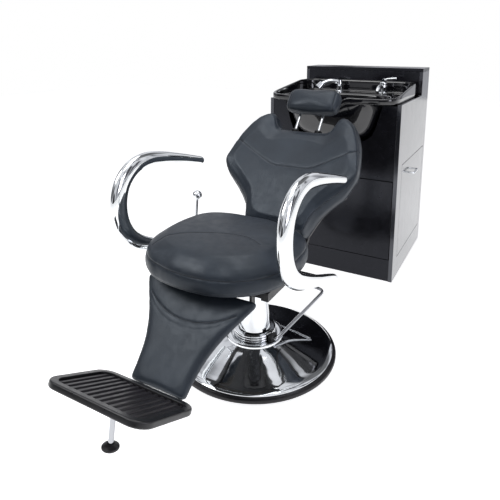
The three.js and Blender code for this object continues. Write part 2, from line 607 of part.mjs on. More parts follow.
// ---- bowl ----
function bowlRing(a, b, yc, z, n, notch, rise = 0) {
  const count = 48;
  return Array.from({ length: count }, (_, k) => {
    const t = (2 * Math.PI * (k + 0.5)) / count;
    const u = Math.sign(Math.cos(t)) * Math.abs(Math.cos(t)) ** (2 / 3);
    const v = Math.sign(Math.sin(t)) * Math.abs(Math.sin(t)) ** (2 / 3);
    const out = (Math.abs(u) ** n + Math.abs(v) ** n) ** (-1 / n);
    const x = a * u * out;
    const y = yc + b * v * out;
    const near = v < 0 ? ease((90 - Math.abs(x)) / 55) * ease(-v * 2) : 0;
    const up = Math.min(1, Math.max(0, (y - BOWL.rimY0) / (BOWL.level - BOWL.rimY0)));
    return V(x, y, z - notch * near + rise * up);
  });
}

function bowl() {
  const { y, rimY0, rimY1, rimW, rimH, notch, rise, deck } = BOWL;
  const [ry, rb] = [(rimY0 + rimY1) / 2, (rimY1 - rimY0) / 2];
  const z = CAB.rimZ + GAP;
  const top = z + rimH;
  const rings = [
    [23, 23, y, 662, 2, 0], [105, 96, y, 667, 2.4, 0], [158, 148, y, 675, 2.8, 0], [190, 182, y, 694, 3.3, 0],
    [208, 195, y, 738, 3.8, 4], [220, 201, y, 790, 4.2, 14], [240, 205, y, z - 6, 4.4, notch - 8],
    [rimW - 4, rb - 4, ry, z, 7, notch - 4], [rimW, rb, ry, z + 3, 8, notch - 2],
    [rimW, rb, ry, top - 2, 8, notch, rise], [rimW - 2, rb - 2, ry, top, 8, notch, rise],
    [rimW - 12, rb - 11, ry, top, 7.6, notch, rise], [rimW - 15, rb - 13, ry, z + deck, 7.4, notch - 8],
    [228, 181, y + 3, z + deck, 3.6, notch - 8], [222, 179, y, z - 4, 3.4, notch - 12],
    [212, 180, y, 792, 3.5, 15], [196, 176, y, 742, 3.3, 3], [172, 160, y, 706, 2.8, 0],
    [98, 88, y, 683, 2.3, 0], [23, 23, y, 673, 2, 0],
  ];
  add('bowl', loft(rings.map((r) => bowlRing(...r)), true), 'gloss');
  const waste = lathe([
    [20, 560], [22.4, 560], [22.4, 661], [34, 661], [34, 657], [26, 655], [26, 556], [20, 556],
  ], 20);
  add('bowl_waste', waste.translate(0, y, 0), 'chrome');
  const strainer = lathe([[0, 668], [17, 668], [17, 673.6], [33, 675.5], [33, 677.5], [0, 678.6]], 20);
  add('drain_strainer', strainer.translate(0, y, 0), 'chrome');
  const profile = [[0, 430], [30, 430], [38, 438], [38, 530], [30, 541], [28, 553], [0, 553]];
  const trap = lathe(profile, 20).translate(0, y, 0);
  const outlet = rod(V(0, y, 505), V(0, CAB.y1 - CAB.board - 1, 490), 16, 14);
  add('drain_trap', join(trap, outlet), 'rubber');
}

// ---- tap and hand spray ----
function taps() {
  const deck = CAB.rimZ + GAP + BOWL.deck + GAP;
  const mx = 142;
  const my = 1150;
  const body = lathe([[0, deck], [27, deck], [27, deck + 5], [22, deck + 8], [21, deck + 46], [0, deck + 46]], 20);
  const arc = [V(mx, my - 12, deck + 26), V(mx, my - 70, deck + 44), V(mx, my - 118, deck + 18)];
  const spout = bar(arc, [0, 26, 0], 10, 12);
  add('mixer_body', join(body.translate(mx, my, 0), spout), 'chrome');
  const cap = lathe([[0, deck + 47], [21, deck + 47], [20, deck + 58], [13, deck + 62], [0, deck + 62.5]], 20);
  add('mixer_cap', cap.translate(mx, my, 0), 'chrome');
  const z = deck + 70.5;
  const boss = rod(V(mx, my - 9, z), V(mx, my + 9, z), 7.5, 16);
  const blade = bar([V(mx, my, z + 1), V(mx + 30, my, z + 8), V(mx + 68, my, z + 11)], [0, 12, 0], 5.5);
  add('mixer_lever', join(boss, blade), 'chrome');
  const [sx, sy] = [-98, 1150];
  const cup = lathe([[13, deck], [26, deck], [26, deck + 4], [18, deck + 8], [18, deck + 34], [13, deck + 34]], 20);
  add('spray_holder', cup.translate(sx, sy, 0), 'chrome');
  const stem = lathe([[0, deck + 2], [12, deck + 2], [12, deck + 34.4], [15, deck + 38], [14, deck + 62],
    [0, deck + 66]], 18);
  const bend = [V(sx, sy, deck + 52), V(sx - 46, sy - 26, deck + 60), V(sx - 86, sy - 50, deck + 40)];
  const neck = bar(bend, [0, 20, 0], 12, 12);
  const rose = rod(V(sx - 80, sy - 46, deck + 46), V(sx - 98, sy - 57, deck + 22), 17, 18, 21);
  add('hand_spray', join(stem.translate(sx, sy, 0), neck, rose), 'chrome');
}

base();
pumpLever();
column();
seat();
arms();
back();
headrest();
reclineLever();
legrest();
footrest();
cabinet();
bowl();
taps();

export default group;
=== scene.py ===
"""Looks of the shampoo backwash unit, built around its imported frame. Lengths are in metres."""
import json
import math

import bmesh
import bpy
import numpy as np
from mathutils import Matrix, Vector, noise
from mathutils.bvhtree import BVHTree


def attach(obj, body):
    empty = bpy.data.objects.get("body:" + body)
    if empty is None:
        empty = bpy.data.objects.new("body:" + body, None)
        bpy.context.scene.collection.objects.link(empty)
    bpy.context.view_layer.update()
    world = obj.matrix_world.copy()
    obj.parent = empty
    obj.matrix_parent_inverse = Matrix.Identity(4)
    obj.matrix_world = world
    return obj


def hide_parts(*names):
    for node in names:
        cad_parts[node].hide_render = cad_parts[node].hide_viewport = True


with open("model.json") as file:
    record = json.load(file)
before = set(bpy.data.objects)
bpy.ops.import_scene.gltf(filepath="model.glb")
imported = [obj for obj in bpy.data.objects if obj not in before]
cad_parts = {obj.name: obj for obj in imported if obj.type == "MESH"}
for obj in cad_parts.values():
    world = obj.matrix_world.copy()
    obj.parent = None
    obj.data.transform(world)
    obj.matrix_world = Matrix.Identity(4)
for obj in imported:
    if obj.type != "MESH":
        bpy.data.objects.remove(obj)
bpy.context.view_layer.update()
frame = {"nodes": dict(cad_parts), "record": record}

scene = bpy.context.scene
NODES = frame["nodes"]
RECORD = frame["record"]
BODY = {n: b for b, names in RECORD["behaviour"]["bodies"].items() for n in names}
SLOT = {p["node"]: p["material_slot"] for p in RECORD["subparts"]}
MM = 0.001


# ---------------------------------------------------------------- camera, light and floor

CAMERA_AZIMUTH, CAMERA_RISE = math.radians(29.1), math.radians(11.1)
FOCAL = 495 / 500  # focal length as a share of the frame's width
BACKGROUND = (1.0, 1.0, 1.0)


def aim(ob, back):
    ob.rotation_mode = "QUATERNION"
    ob.rotation_quaternion = (-Vector(back)).to_track_quat("-Z", "Y")


def add_camera():
    data = bpy.data.cameras.new("camera")
    data.sensor_width = 36
    data.lens = 36 * FOCAL
    data.shift_y = -0.22
    data.clip_start, data.clip_end = 0.05, 60
    cam = bpy.data.objects.new("camera", data)
    cam.location = (0.798, -1.469, 1.121)
    flat = math.cos(CAMERA_RISE)
    aim(cam, (math.sin(CAMERA_AZIMUTH) * flat, -math.cos(CAMERA_AZIMUTH) * flat, math.sin(CAMERA_RISE)))
    scene.collection.objects.link(cam)
    scene.camera = cam


def softbox(name, place, target, width, height, power, color=(1, 1, 1)):
    data = bpy.data.lights.new(name, "AREA")
    data.shape = "RECTANGLE"
    data.size, data.size_y = width, height
    data.energy = power
    data.color = color
    lamp = bpy.data.objects.new(name, data)
    lamp.location = place
    aim(lamp, Vector(place) - Vector(target))
    scene.collection.objects.link(lamp)
    return lamp


def add_studio():
    """A pale room: bright overhead, greyer low down, with soft dark gaps between its lights."""
    world = bpy.data.worlds.new("studio")
    scene.world = world
    world.use_nodes = True
    tree = world.node_tree
    tree.nodes.clear()
    ray = node(tree, "TexCoord").outputs["Generated"]
    height = node(tree, "SeparateXYZ", {"Vector": ray}).outputs["Z"]
    level = ramp(tree, height, [(0.0, (0.62, 0.63, 0.66)), (0.18, (0.80, 0.81, 0.84)),
                                (0.6, (0.92, 0.93, 0.95))])
    stretched = node(tree, "Mapping", {"Vector": ray, "Scale": (3.2, 3.2, 0.7)}).outputs["Vector"]
    drapes = node(tree, "TexNoise", {"Vector": stretched, "Scale": 1.6, "Detail": 2.0}).outputs["Fac"]
    bands = ramp(tree, drapes, [(0.36, (0.10, 0.10, 0.11)), (0.46, (0.8, 0.8, 0.82)),
                                (0.7, (1.15, 1.15, 1.16))])
    level = node(tree, "VectorMath", {0: level, 1: bands}, operation="MULTIPLY").outputs["Vector"]
    # (direction, half width and fade in degrees, brightness left)
    gaps = [((-0.75, -0.65, 0.12), 13, 9, 0.06), ((0.95, -0.12, 0.25), 11, 8, 0.10),
            ((-0.2, -1.0, 0.35), 10, 8, 0.12),
            ((-0.98, 0.1, 0.30), 12, 10, 0.15), ((0.25, 0.8, 0.75), 12, 10, 0.2),
            ((0.35, -0.9, -0.1), 16, 8, 0.1)]
    for direction, half, fade, left in gaps:
        near = node(tree, "VectorMath", {0: ray, 1: Vector(direction).normalized()}, operation="DOT_PRODUCT")
        dark = node(tree, "MapRange", {
            "Value": near.outputs["Value"], "From Min": math.cos(math.radians(half + fade)),
            "From Max": math.cos(math.radians(half)), "To Min": 1.0, "To Max": left})
        dark.interpolation_type = "SMOOTHSTEP"
        mixed = node(tree, "VectorMath", {0: level}, operation="SCALE")
        tree.links.new(dark.outputs["Result"], mixed.inputs["Scale"])
        level = mixed.outputs["Vector"]
    path = node(tree, "LightPath")
    strength = node(tree, "MapRange", {"Value": path.outputs["Is Glossy Ray"], "To Min": 0.45,
                                       "To Max": 0.95})
    room = node(tree, "Background", {"Color": level, "Strength": strength.outputs["Result"]})
    plain = node(tree, "Background", {"Color": (*BACKGROUND, 1), "Strength": 1.0})
    seen = path.outputs["Is Camera Ray"]
    mix = node(tree, "MixShader", {0: seen, 1: room.outputs[0], 2: plain.outputs[0]})
    out = tree.nodes.new("ShaderNodeOutputWorld")
    tree.links.new(mix.outputs[0], out.inputs["Surface"])
    softbox("key", (-1.2, -1.6, 2.6), (0, 0, 0.5), 1.6, 1.2, 30)
    softbox("side", (2.6, -0.6, 1.5), (0, 0.1, 0.5), 1.0, 1.6, 20, (0.9, 0.9, 1.0))
    softbox("overhead", (0.1, 0.2, 3.2), (0, 0.1, 0), 2.4, 1.4, 26)
    scene.view_settings.view_transform = "Standard"


def add_floor():
    half = 9
    me = bpy.data.meshes.new("floor")
    me.from_pydata([(-half, -half, 0), (half, -half, 0), (half, half, 0), (-half, half, 0)], [],
                   [(0, 1, 2, 3)])
    floor = bpy.data.objects.new("floor", me)
    scene.collection.objects.link(floor)
    mat, tree, surface = shader("floor", (0.9, 0.9, 0.905), 0.75, Emission_Color=(1, 1, 1, 1),
                                Emission_Strength=0.74)
    # light that bounces off the floor onto the object is held back, so that its undersides stay dark
    dull = node(tree, "BsdfDiffuse", {"Color": (0.30, 0.30, 0.31, 1)})
    mix = node(tree, "MixShader", {0: node(tree, "LightPath").outputs["Is Diffuse Ray"],
                                   1: surface.outputs[0],
                                   2: dull.outputs[0]})
    tree.links.new(mix.outputs[0], tree.nodes["Material Output"].inputs["Surface"])
    me.materials.append(mat)


# ---------------------------------------------------------------- materials

def node(tree, kind, inputs=(), **settings):
    made = tree.nodes.new("ShaderNode" + kind)
    for key, value in settings.items():
        setattr(made, key, value)
    for key, value in dict(inputs).items():
        if isinstance(value, bpy.types.NodeSocket):
            tree.links.new(value, made.inputs[key])
        else:
            made.inputs[key].default_value = value
    return made


def ramp(tree, value, stops):
    made = node(tree, "ValToRGB", {"Fac": value})
    elements = made.color_ramp.elements
    while len(elements) < len(stops):
        elements.new(0.5)
    for element, (at, color) in zip(elements, stops):
        element.position = at
        element.color = (*color, 1) if len(color) == 3 else color
    return made.outputs["Color"]


def shader(name, color, roughness, **sockets):
    mat = bpy.data.materials.new(name)
    mat.use_nodes = True
    surface = mat.node_tree.nodes["Principled BSDF"]
    surface.inputs["Base Color"].default_value = (*color, 1)
    surface.inputs["Roughness"].default_value = roughness
    for key, value in sockets.items():
        surface.inputs[key.replace("_", " ")].default_value = value
    return mat, mat.node_tree, surface


def noise_at(tree, scale, detail=3.0, roughness=0.5, stretch=None):
    at = node(tree, "TexCoord").outputs["Object"]
    if stretch:
        at = node(tree, "Mapping", {"Vector": at, "Scale": stretch}).outputs["Vector"]
    inputs = {"Vector": at, "Scale": scale, "Detail": detail, "Roughness": roughness}
    return node(tree, "TexNoise", inputs).outputs["Fac"]


def spread(tree, value, low, high):
    """A 0..1 noise as a number between low and high."""
    inputs = {"Value": value, "From Min": 0.3, "From Max": 0.7, "To Min": low, "To Max": high}
    return node(tree, "MapRange", inputs).outputs["Result"]


def bump(tree, height, strength, distance, under=None):
    inputs = {"Height": height, "Strength": strength, "Distance": distance}
    if under is not None:
        inputs["Normal"] = under
    return node(tree, "Bump", inputs).outputs["Normal"]


def leather(name, dark, light, gloss=0.40):
    mat, tree, surface = shader(name, light, gloss, Specular_IOR_Level=0.44,
                                Specular_Tint=(0.84, 0.92, 1.0, 1))
    link = tree.links.new
    link(ramp(tree, noise_at(tree, 9, 4), [(0.32, dark), (0.68, light)]), surface.inputs["Base Color"])
    link(spread(tree, noise_at(tree, 38, 3), gloss - 0.05, gloss + 0.07), surface.inputs["Roughness"])
    at = node(tree, "TexCoord").outputs["Object"]
    pebbles = node(tree, "TexVoronoi", {"Vector": at, "Scale": 560.0},
                   feature="SMOOTH_F1").outputs["Distance"]
    folds = bump(tree, noise_at(tree, 26, 5, 0.6), 0.10, 1.4 * MM)
    link(bump(tree, pebbles, 0.30, 0.35 * MM, folds), surface.inputs["Normal"])
    return mat


def metal(name, color, low, high, wave=0.03, scale=14):
    mat, tree, surface = shader(name, color, (low + high) / 2, Metallic=1.0)
    link = tree.links.new
    dim = tuple(c * 0.94 for c in color)
    link(ramp(tree, noise_at(tree, 22, 2), [(0.35, dim), (0.65, color)]), surface.inputs["Base Color"])
    link(spread(tree, noise_at(tree, 55, 4, 0.6), low, high), surface.inputs["Roughness"])
    link(bump(tree, noise_at(tree, scale, 2), wave, 1.0 * MM), surface.inputs["Normal"])
    return mat


def brushed(name, color):
    mat, tree, surface = shader(name, color, 0.32, Metallic=1.0, Anisotropic=0.5)
    grain = noise_at(tree, 900, 3, 0.6, (1, 1, 0.05))
    tree.links.new(spread(tree, grain, 0.24, 0.42), surface.inputs["Roughness"])
    tree.links.new(bump(tree, grain, 0.15, 0.1 * MM), surface.inputs["Normal"])
    return mat


def plastic(name, dark, light, low, high, grain, strength, **sockets):
    """Paint, moulded plastic, rubber or board: patchy colour, uneven gloss and a fine surface grain."""
    mat, tree, surface = shader(name, light, (low + high) / 2, **sockets)
    link = tree.links.new
    link(ramp(tree, noise_at(tree, 12, 4), [(0.35, dark), (0.65, light)]), surface.inputs["Base Color"])
    link(spread(tree, noise_at(tree, 45, 4, 0.6), low, high), surface.inputs["Roughness"])
    link(bump(tree, noise_at(tree, grain, 4, 0.6), strength, 0.3 * MM), surface.inputs["Normal"])
    return mat


def laminate(name, index=1.4, coat=0.0):
    """Black gloss board: mirror-like, with a faint ripple in the sheet and dust-fine wear."""
    mat, tree, surface = shader(name, (0.006, 0.006, 0.008), 0.14, IOR=index,
                                Specular_Tint=(0.85, 0.88, 1.0, 1),
                                Coat_Weight=coat, Coat_Roughness=0.08)
    link = tree.links.new
    link(ramp(tree, noise_at(tree, 30, 5, 0.65), [(0.4, (0.004, 0.004, 0.005)),
                                                  (0.75, (0.010, 0.010, 0.013))]),
         surface.inputs["Base Color"])
    link(spread(tree, noise_at(tree, 18, 5, 0.6), 0.11, 0.2), surface.inputs["Roughness"])
    ripple = bump(tree, noise_at(tree, 7, 2), 0.05, 2 * MM)
    link(bump(tree, noise_at(tree, 700, 2), 0.04, 0.1 * MM, ripple), surface.inputs["Normal"])
    return mat


def plywood(name):
    mat, tree, surface = shader(name, (0.03, 0.026, 0.022), 0.6)
    at = node(tree, "TexCoord").outputs["Object"]
    rings = node(tree, "TexWave", {"Vector": at, "Scale": 9.0, "Distortion": 6.0,
                                   "Detail": 3.0}).outputs["Fac"]
    tree.links.new(ramp(tree, rings, [(0.2, (0.018, 0.015, 0.013)), (0.8, (0.042, 0.036, 0.030))]),
                   surface.inputs["Base Color"])
    tree.links.new(bump(tree, rings, 0.15, 0.3 * MM), surface.inputs["Normal"])
    return mat


MATERIAL = {}


def make_materials():
    MATERIAL.update({
        "leather": leather("leather", (0.015, 0.0195, 0.027), (0.024, 0.031, 0.042)),
        "welt": leather("welt", (0.013, 0.015, 0.020), (0.021, 0.024, 0.032), 0.36),
        # the thread is much darker than the leather round it: painted shade along the seams, on top of a real
        # line of thread
        "seam_shade_thread": plastic("seam_shade_thread", (0.003, 0.003, 0.004), (0.008, 0.008, 0.010), 0.6, 0.8, 900, 0.3),
        "chrome": metal("chrome", (0.80, 0.82, 0.84), 0.03, 0.07),
        "thin_chrome": metal("thin_chrome", (0.46, 0.47, 0.49), 0.05, 0.12),
        "polished_arm": metal("polished_arm", (0.86, 0.88, 0.89), 0.03, 0.07),
        "black_steel": plastic("black_steel", (0.012, 0.012, 0.013), (0.022, 0.022, 0.025), 0.34, 0.48, 420,
                               0.2),
        "black_shell": plastic("black_shell", (0.006, 0.006, 0.007), (0.011, 0.011, 0.013), 0.26, 0.40, 900,
                               0.25),
        "rubber": plastic("rubber", (0.006, 0.005, 0.007), (0.013, 0.011, 0.014), 0.36, 0.5, 260, 0.3),
        "plywood": plywood("plywood"),
        "laminate": laminate("laminate"),
        "lacquered_side": laminate("lacquered_side", 1.75, 0.6),
        "bowl_gloss": plastic("bowl_gloss", (0.003, 0.003, 0.004), (0.006, 0.006, 0.008), 0.04, 0.09, 25,
                              0.03,
                              Coat_Weight=0.6, Coat_Roughness=0.03),
        "strainer_steel": brushed("strainer_steel", (0.55, 0.56, 0.57)),
    })


# ---------------------------------------------------------------- mesh tools

def smooth(ob, angle=None):
    ob.data.shade_smooth()
    if angle:
        ob.data.set_sharp_from_angle(angle=math.radians(angle))


def mesh_piece(name, verts, faces, angle=None):
    me = bpy.data.meshes.new(name)
    me.from_pydata([tuple(v) for v in verts], [], faces)
    bm = bmesh.new()
    bm.from_mesh(me)
    bmesh.ops.remove_doubles(bm, verts=bm.verts, dist=1e-6)
    bmesh.ops.recalc_face_normals(bm, faces=bm.faces)
    bm.to_mesh(me)
    bm.free()
    ob = bpy.data.objects.new(name, me)
    scene.collection.objects.link(ob)
    smooth(ob, angle)
    return ob


def loft(name, rings, loop=False, angle=None):
    n = len(rings[0])
    verts = [p for ring in rings for p in ring]
    faces = []
    for r in range(len(rings) if loop else len(rings) - 1):
        a, b = r * n, ((r + 1) % len(rings)) * n
        faces += [(a + k, a + (k + 1) % n, b + (k + 1) % n, b + k) for k in range(n)]
    if not loop:
        faces += [tuple(range(n)), tuple(range((len(rings) - 1) * n, len(rings) * n))]
    return mesh_piece(name, verts, faces, angle)


def lathe(name, profile, segments=96, at=(0, 0, 0), angle=35):
    """Turns a profile of (radius, height) round the vertical through at.

    The profile is closed on itself unless it starts on the axis."""
    on_axis = profile[0][0] < 1e-6
    ends = [p for p in profile if p[0] < 1e-6]
    body = [p for p in profile if p[0] >= 1e-6]
    turns = [2 * math.pi * k / segments for k in range(segments)]
    ring = [(math.cos(a), math.sin(a)) for a in turns]
    verts = [(at[0] + r * c, at[1] + r * s, at[2] + z) for r, z in body for c, s in ring]
    faces = []
    rows = len(body) - 1 if on_axis else len(body)
    for i in range(rows):
        a, b = i * segments, ((i + 1) % len(body)) * segments
        faces += [(a + k, a + (k + 1) % segments, b + (k + 1) % segments, b + k) for k in range(segments)]
    for i, (_, z) in enumerate(ends):
        tip = len(verts)
        verts.append((at[0], at[1], at[2] + z))
        a = 0 if i == 0 else (len(body) - 1) * segments
        faces += [(a + k, a + (k + 1) % segments, tip) for k in range(segments)]
    return mesh_piece(name, verts, faces, angle)


def spline(points, count):
    """Evenly spaced points on a centripetal Catmull-Rom curve."""
    pts = [np.array(p, float) for p in points]
    pts = [2 * pts[0] - pts[1], *pts, 2 * pts[-1] - pts[-2]]
    out = []
    for i in range(1, len(pts) - 2):
        p = pts[i - 1:i + 3]
        t = [0.0]
        for a, b in zip(p, p[1:]):
            t.append(t[-1] + max(1e-9, float(np.linalg.norm(b - a))) ** 0.5)
        for u in np.linspace(t[1], t[2], 12, endpoint=False):
            a = [(t[k + 1] - u) / (t[k + 1] - t[k]) * p[k] + (u - t[k]) / (t[k + 1] - t[k]) * p[k + 1]
                 for k in range(3)]
            b = [(t[k + 2] - u) / (t[k + 2] - t[k]) * a[k] + (u - t[k]) / (t[k + 2] - t[k]) * a[k + 1]
                 for k in range(2)]
            out.append((t[2] - u) / (t[2] - t[1]) * b[0] + (u - t[1]) / (t[2] - t[1]) * b[1])
    out.append(pts[-2])
    return resample(out, count)


def resample(points, count, closed=False):
    pts = np.array([tuple(p) for p in points], float)
    if closed:
        pts = np.vstack([pts, pts[:1]])
    far = np.concatenate([[0], np.cumsum(np.linalg.norm(np.diff(pts, axis=0), axis=1))])
    want = np.linspace(0, far[-1], count, endpoint=not closed)
    return np.stack([np.interp(want, far, pts[:, k]) for k in range(pts.shape[1])], axis=1)


def rounded(corners, bends, steps=8):
    """A path through corners with each one rounded off by its own bend length."""
    out = [Vector(corners[0])]
    for i in range(1, len(corners) - 1):
        c = Vector(corners[i])
        a = c + (Vector(corners[i - 1]) - c).normalized() * bends[i]
        b = c + (Vector(corners[i + 1]) - c).normalized() * bends[i]
        for k in range(steps + 1):
            t = k / steps
            out.append(a * (1 - t) ** 2 + c * 2 * t * (1 - t) + b * t * t)
    out.append(Vector(corners[-1]))
    return out


def tube(name, path, radius, segments=24, closed=False, angle=None):
    """Round bar along a path; radius is a number or one for each point."""
    pts = [Vector(p) for p in path]
    radii = [radius] * len(pts) if isinstance(radius, (int, float)) else list(radius)
    side, rings = None, []
    for i, p in enumerate(pts):
        nxt = pts[(i + 1) % len(pts)] if closed else pts[min(i + 1, len(pts) - 1)]
        t = (nxt - (pts[i - 1] if closed or i else p)).normalized()
        if side is None:
            side = Vector((0, 0, 1)) if abs(t.z) < 0.9 else Vector((1, 0, 0))
        side = (side - t * side.dot(t)).normalized()
        other = t.cross(side)
        ring = []
        for k in range(segments):
            a = 2 * math.pi * k / segments
            ring.append(p + (side * math.cos(a) + other * math.sin(a)) * radii[i])
        rings.append(ring)
    return loft(name, rings, closed, angle)


def bake(ob):
    made = bpy.data.meshes.new_from_object(ob.evaluated_get(bpy.context.evaluated_depsgraph_get()))
    old, ob.data = ob.data, made
    ob.modifiers.clear()
    bpy.data.meshes.remove(old)
    return ob


def modify(ob, kind, **settings):
    mod = ob.modifiers.new(kind.lower(), kind)
    for key, value in settings.items():
        setattr(mod, key, value)
    return bake(ob)


def settle(ob, body, slot, *replaced, material=None):
    ob.data.materials.clear()
    ob.data.materials.append(MATERIAL[material or slot])
    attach(ob, body)
    if replaced:
        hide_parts(*replaced)
    return ob


def copy_of(name, source):
    me = NODES[source].data.copy()
    bm = bmesh.new()
    bm.from_mesh(me)
    bmesh.ops.remove_doubles(bm, verts=bm.verts, dist=1e-5)
    bm.to_mesh(me)
    bm.free()
    me.name = name
    ob = bpy.data.objects.new(name, me)
    scene.collection.objects.link(ob)
    return ob


def refined(source, bevel, segments=3, angle=40, material=None):
    """The CAD solid with its flat faces made whole and its edges rounded."""
    ob = copy_of(source + "_finished", source)
    bm = bmesh.new()
    bm.from_mesh(ob.data)
    bmesh.ops.dissolve_limit(bm, angle_limit=math.radians(0.6), verts=bm.verts, edges=bm.edges)
    bm.to_mesh(ob.data)
    bm.free()
    smooth(ob)
    modify(ob, "BEVEL", width=bevel, segments=segments, limit_method="ANGLE", angle_limit=math.radians(angle))
    smooth(ob)
    modify(ob, "WEIGHTED_NORMAL", mode="FACE_AREA", weight=100, keep_sharp=False)
    return settle(ob, BODY[source], SLOT[source], source, material=material)


def coords(ob):
    co = np.empty(len(ob.data.vertices) * 3)
    ob.data.vertices.foreach_get("co", co)
    return co.reshape(-1, 3)


def normals(ob):
    out = np.empty(len(ob.data.vertices) * 3)
    ob.data.vertex_normals.foreach_get("vector", out)
    return out.reshape(-1, 3)


def set_coords(ob, co):
    ob.data.vertices.foreach_set("co", np.asarray(co).ravel())
    ob.data.update()


# ---------------------------------------------------------------- cushions

def relax(ob, rounds):
    bm = bmesh.new()
    bm.from_mesh(ob.data)
    for _ in range(rounds):
        bmesh.ops.smooth_vert(bm, verts=bm.verts, factor=0.5, use_axis_x=True, use_axis_y=True,
                              use_axis_z=True)
    bm.to_mesh(ob.data)
    bm.free()
    ob.data.update()


def evened(ob, move, rounds):
    """A displacement averaged over neighbouring points: the swell stays and the crumples go."""
    ends = np.empty(len(ob.data.edges) * 2, dtype=np.int64)
    ob.data.edges.foreach_get("vertices", ends)
    a, b = ends.reshape(-1, 2).T
    count = np.bincount(np.concatenate([a, b]), minlength=len(move)).clip(1)[:, None]
    for _ in range(rounds):
        total = np.stack([np.bincount(a, move[b, k], len(move)) + np.bincount(b, move[a, k], len(move))
                          for k in range(3)], axis=1)
        move = 0.5 * move + 0.5 * total / count
    return move


def inflate(ob, pressure, cap, frames=20, held=None):
    """Blows the closed cover up like a filled cushion; no point moves further than cap."""
    start = coords(ob).copy()
    mod = ob.modifiers.new("cloth", "CLOTH")
    cloth = mod.settings
    cloth.quality = 5
    cloth.mass = 0.3
    cloth.tension_stiffness = cloth.compression_stiffness = 15
    cloth.shear_stiffness = 5
    cloth.bending_stiffness = 0.5
    cloth.use_pressure = True
    cloth.uniform_pressure_force = pressure
    cloth.effector_weights.gravity = 0
    mod.collision_settings.use_collision = False
    if held is not None:
        group = ob.vertex_groups.new(name="held")
        group.add([int(i) for i in np.nonzero(held)[0]], 1.0, "REPLACE")
        cloth.vertex_group_mass = "held"
    mod.point_cache.frame_start, mod.point_cache.frame_end = 1, frames
    for f in range(1, frames + 1):
        scene.frame_set(f)
    dg = bpy.context.evaluated_depsgraph_get()
    blown = ob.evaluated_get(dg).to_mesh()
    end = np.empty(len(blown.vertices) * 3)
    blown.vertices.foreach_get("co", end)
    move = evened(ob, end.reshape(-1, 3) - start, 60)
    length = np.linalg.norm(move, axis=1, keepdims=True)
    move *= np.minimum(1.0, cap / np.maximum(length, 1e-9))
    ob.modifiers.clear()
    ob.vertex_groups.clear()
    set_coords(ob, start + move)
    scene.frame_set(1)


def path_distance(co, path):
    """Distance from each vertex to the nearest point of a dense path."""
    best = np.full(len(co), 1e9)
    for i in range(0, len(path), 16):
        part = np.asarray(path[i:i + 16])
        gap = np.linalg.norm(co[:, None, :] - part[None, :, :], axis=2).min(axis=1)
        best = np.minimum(best, gap)
    return best


def sew(ob, path, depth, width, pucker=0.0, seed=0):
    """Pulls a sewn line into the cover, with small puckers beside it."""
    co, out = coords(ob), normals(ob)
    gap = path_distance(co, path)
    near = gap < 6 * width
    pull = depth * np.exp(-(gap / width) ** 2) + 0.35 * depth * np.exp(-(gap / (3 * width)) ** 2)
    if pucker:
        shift = Vector((seed, 0, 0))
        wave = np.array([noise.noise(Vector(p) * 55 + shift) if n else 0.0 for p, n in zip(co, near)])
        pull += pucker * wave * np.exp(-(gap / (4 * width)) ** 2)
    set_coords(ob, co - out * (pull * near)[:, None])


def surface(ob):
    return BVHTree.FromPolygons([tuple(c) for c in coords(ob)], [tuple(p.vertices) for p in ob.data.polygons])


def onto(tree, points):
    """The nearest points of a surface."""
    return np.array([tuple(tree.find_nearest(Vector(p))[0]) for p in points])


def cast(tree, points, direction, far=0.3):
    out = []
    for p in points:
        hit = tree.ray_cast(Vector(p) - Vector(direction) * far, Vector(direction))[0]
        if hit is not None:
            out.append(tuple(hit))
    return np.array(out)


def welt(name, tree, path, radius, body, closed=False, lift=0.4):
    """A thin piped edge lying along a path on a cover."""
    pts = []
    for p in path:
        spot, out, _, _ = tree.find_nearest(Vector(p))
        pts.append(spot + out * radius * lift)
    pts = resample(pts, len(pts), closed)
    ob = tube(name, pts, radius, 10, closed)
    return settle(ob, body, "leather", material="welt")


def stitched(name, ob, path, body, depth=1.8, width=3.2, pucker=0.4, seed=0, closed=False):
    """A sewn line: a narrow groove in the cover, with a near-black line of thread at its foot whose darkness
    is painted shade for the groove.
    """
    sew(ob, path, depth * MM, width * MM, pucker * MM, seed)
    tree = surface(ob)
    pts = resample(onto(tree, path), len(path), closed)
    # near-black thread in the foot of the groove: a real thread, and painted shade of the seam
    seam_shade_thread = tube(name, pts, 0.6 * MM, 8, closed)
    settle(seam_shade_thread, body, "leather", material="seam_shade_thread")


BACK_TILT = math.radians(39.8)
BACK_S = Vector((0, math.sin(BACK_TILT), math.cos(BACK_TILT)))
BACK_T = Vector((0, -math.cos(BACK_TILT), math.sin(BACK_TILT)))
BACK_AT = Vector((0, 0.128, 0.420))
LEG_TILT = math.radians(47.6)
LEG_S = Vector((0, -math.sin(LEG_TILT), -math.cos(LEG_TILT)))
LEG_T = Vector((0, -math.cos(LEG_TILT), math.sin(LEG_TILT)))
LEG_AT = Vector((0, -0.345, 0.385))


def on_back(x, s, t):
    return BACK_AT + Vector((x * MM, 0, 0)) + BACK_S * (s * MM) + BACK_T * (t * MM)


def on_leg(x, s, t):
    return LEG_AT + Vector((x * MM, 0, 0)) + LEG_S * (s * MM) + LEG_T * (t * MM)


def mirrored(points):
    """A left-to-right line from its right half, given from the middle outwards."""
    return [(-x, *rest) for x, *rest in reversed(points) if x > 0] + list(points)


# right half of the back's outline (x, s), bottom middle to top middle
BACK_OUTLINE = [(0, 2), (112, 4), (130, 16), (140, 44), (150, 76), (168, 108), (204, 148), (240, 178),
                (266, 202),
                (281, 228), (287, 258), (286, 300), (278, 345), (262, 402), (238, 462), (212, 502),
                (184, 524),
                (158, 532), (140, 520), (128, 494), (114, 471), (92, 463), (0, 463)]
BACK_THICK = 84
BACK_DISH = 46


def back_front(x):
    return BACK_DISH * (x / 290) ** 2


